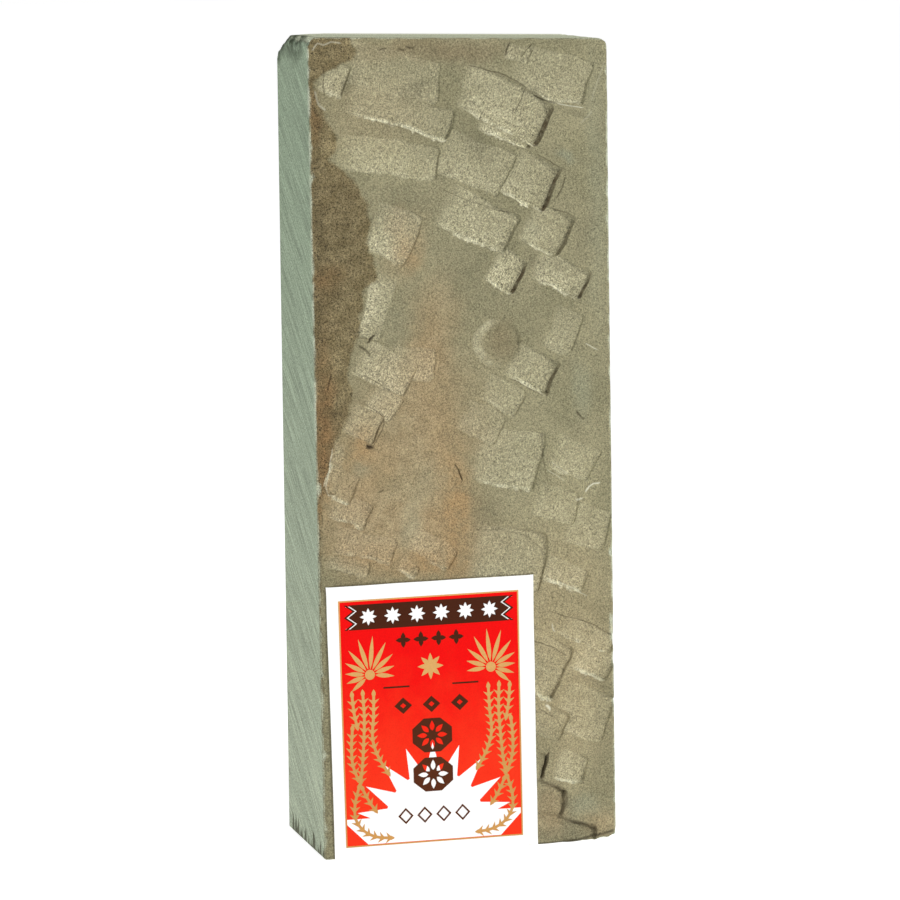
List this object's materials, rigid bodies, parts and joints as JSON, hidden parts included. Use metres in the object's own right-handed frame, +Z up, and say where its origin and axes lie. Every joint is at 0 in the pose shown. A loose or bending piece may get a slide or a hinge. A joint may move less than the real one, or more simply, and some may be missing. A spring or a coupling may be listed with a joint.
{
  "type": "sharpening whetstone",
  "caption": "Natural stone bench block, slightly tapered, with a flat honing face, a hand-chiselled back and a pasted paper label.",
  "frame": {"origin": "middle of the object's footprint, on the surface that it stands on", "axes": "+Z up along the stone's length, +X to the right of somebody facing the label, +Y from the labelled face into the stone"},
  "size_m": [0.077, 0.0422, 0.2073],
  "materials": {
    "stone": "matte, chiselled",
    "paste": "dried starch film",
    "paper": "smooth uncoated",
    "red_ink": "flat printed ink",
    "brown_ink": "flat printed ink",
    "gold_ink": "flat printed ink"
  },
  "bodies": {
    "root": {"stone_block": "stone", "label_paste": "paste", "label_paper": "paper", "red_print": "red_ink", "brown_print": "brown_ink", "gold_print": "gold_ink"}
  },
  "joints": []
}
